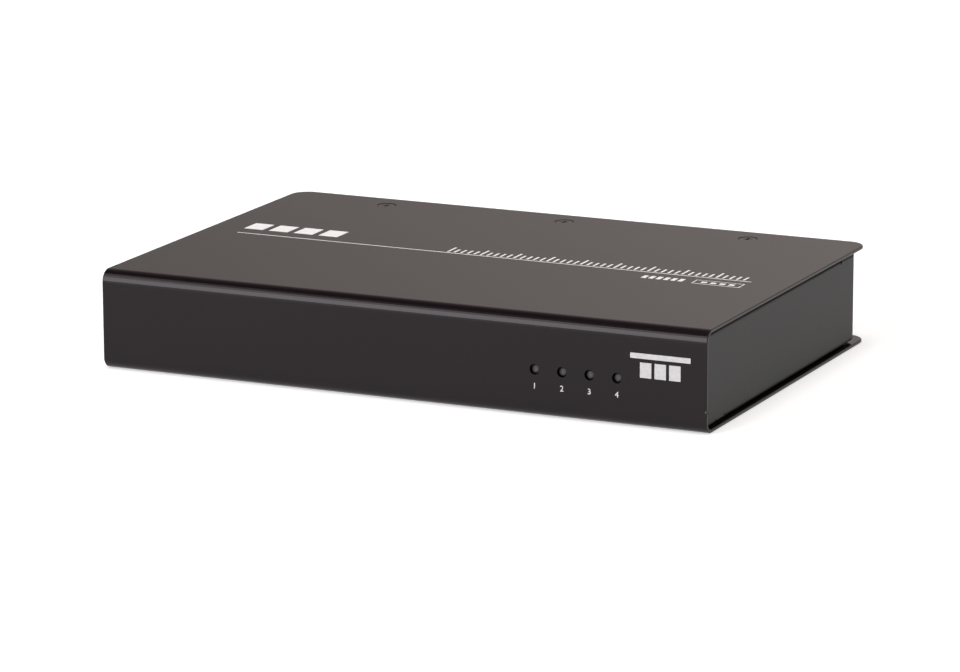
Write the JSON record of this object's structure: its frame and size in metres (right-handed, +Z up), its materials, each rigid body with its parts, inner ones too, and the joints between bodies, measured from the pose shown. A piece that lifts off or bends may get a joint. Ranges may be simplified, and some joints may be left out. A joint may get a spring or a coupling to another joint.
{
  "type": "kvm extender",
  "caption": "Flat dark metal box with rounded front edges, indicator lamps in front and sockets set back under overhanging sheets behind.",
  "frame": {"origin": "centre of the underside, on the surface that the case stands on", "axes": "+X to the right seen from the front, +Y towards the sockets, +Z up; the lamps face -Y"},
  "size_m": [0.2, 0.133, 0.031],
  "materials": {
    "cover_paint": "fine satin paint, dark brown grey",
    "tray_paint": "fine satin paint, dark grey",
    "screw_black": "blackened steel",
    "zinc_steel": "zinc plate",
    "nickel_plate": "satin nickel plate",
    "brass": "machined",
    "board_green": "solder resist on glass fibre",
    "black_plastic": "moulded",
    "white_plastic": "moulded",
    "lamp_resin": "cast resin, unlit",
    "dark_aluminium": "black anodised",
    "can_aluminium": "drawn can",
    "ferrite": "pressed ferrite"
  },
  "bodies": {
    "root": {"wrap_cover": "cover_paint", "chassis_tray": "tray_paint", "rear_panel": "tray_paint", "cover_screw_top_1": "screw_black", "cover_screw_top_2": "screw_black", "cover_screw_top_3": "screw_black", "cover_screw_bottom_1": "screw_black", "cover_screw_bottom_2": "screw_black", "cover_screw_bottom_3": "screw_black", "main_board": "board_green", "board_pillar_1": "brass", "board_pillar_2": "brass", "board_pillar_3": "brass", "board_pillar_4": "brass", "board_screw_1": "zinc_steel", "board_screw_2": "zinc_steel", "board_screw_3": "zinc_steel", "board_screw_4": "zinc_steel", "lamp_holder": "black_plastic", "indicator_lamp_1": "lamp_resin", "indicator_lamp_2": "lamp_resin", "indicator_lamp_3": "lamp_resin", "indicator_lamp_4": "lamp_resin", "ground_screw": "zinc_steel", "ground_washer": "nickel_plate", "power_jack": "black_plastic", "network_socket": "nickel_plate", "network_socket_contacts": "brass", "square_data_socket": "nickel_plate", "square_data_tongue": "white_plastic", "video_socket": "nickel_plate", "video_socket_insert": "white_plastic", "video_jackscrew_1": "nickel_plate", "video_jackscrew_2": "nickel_plate", "serial_socket": "nickel_plate", "serial_socket_insert": "black_plastic", "serial_jackscrew_1": "nickel_plate", "serial_jackscrew_2": "nickel_plate", "audio_jack_1": "black_plastic", "audio_jack_2": "black_plastic", "link_chip": "black_plastic", "heat_sink": "dark_aluminium", "video_chip": "black_plastic", "memory_chip_1": "black_plastic", "memory_chip_2": "black_plastic", "clock_crystal": "can_aluminium", "isolation_transformer": "black_plastic", "power_inductor": "ferrite", "smoothing_capacitor_1": "can_aluminium", "smoothing_capacitor_2": "can_aluminium", "smoothing_capacitor_3": "can_aluminium"}
  },
  "joints": []
}
